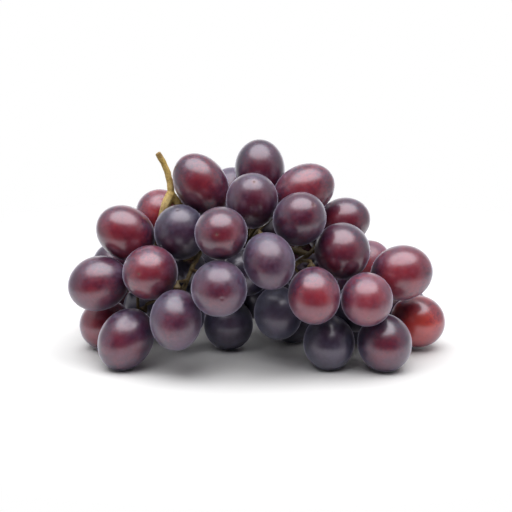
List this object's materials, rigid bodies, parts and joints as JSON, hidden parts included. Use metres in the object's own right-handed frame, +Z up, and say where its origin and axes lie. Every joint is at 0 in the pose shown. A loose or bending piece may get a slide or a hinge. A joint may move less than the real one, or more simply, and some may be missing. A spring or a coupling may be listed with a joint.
{
  "type": "bunch of grapes",
  "caption": "Bunch of red and dark purple table grapes on a branching stem with a cut stalk, lying on its side.",
  "frame": {"origin": "on the surface that the bunch rests on, under the middle of the bunch's box", "axes": "+Z up, +X along the bunch's longest side to the right as the picture shows it, +Y to the back, so the front faces -Y"},
  "size_m": [0.1606, 0.1126, 0.0889],
  "materials": {
    "red_grape": "wine-red to maroon skin, satin under a patchy grey-lilac bloom, a little translucent",
    "purple_grape": "dusky purple skin with a maroon cast, satin under a patchy grey-lilac bloom",
    "blue_grape": "blue-black skin, satin under a patchy grey bloom",
    "stem": "tan to olive-yellow bark, matt, browner at the cut end and the forks"
  },
  "bodies": {
    "root": {"grape_01": "red_grape", "grape_02": "red_grape", "grape_03": "red_grape", "grape_04": "blue_grape", "grape_05": "red_grape", "grape_06": "purple_grape", "grape_07": "purple_grape", "grape_08": "red_grape", "grape_09": "purple_grape", "grape_10": "purple_grape", "grape_11": "purple_grape", "grape_12": "red_grape", "grape_13": "red_grape", "grape_14": "blue_grape", "grape_15": "red_grape", "grape_16": "red_grape", "grape_17": "red_grape", "grape_18": "purple_grape", "grape_19": "blue_grape", "grape_20": "blue_grape", "grape_21": "purple_grape", "grape_22": "purple_grape", "grape_23": "blue_grape", "grape_24": "purple_grape", "grape_25": "red_grape", "grape_26": "purple_grape", "grape_27": "red_grape", "grape_28": "blue_grape", "grape_29": "purple_grape", "grape_30": "red_grape", "grape_31": "purple_grape", "grape_32": "red_grape", "grape_33": "purple_grape", "grape_34": "blue_grape", "grape_35": "red_grape", "grape_36": "blue_grape", "grape_37": "purple_grape", "grape_38": "blue_grape", "grape_39": "red_grape", "grape_40": "red_grape", "grape_41": "purple_grape", "grape_42": "purple_grape", "grape_43": "purple_grape", "grape_44": "red_grape", "grape_45": "blue_grape", "grape_46": "purple_grape", "grape_47": "blue_grape", "grape_48": "blue_grape", "grape_49": "blue_grape", "grape_50": "purple_grape", "grape_51": "blue_grape", "grape_52": "blue_grape", "grape_53": "blue_grape", "grape_54": "purple_grape", "grape_55": "blue_grape", "grape_56": "purple_grape", "stem": "stem"}
  },
  "joints": []
}
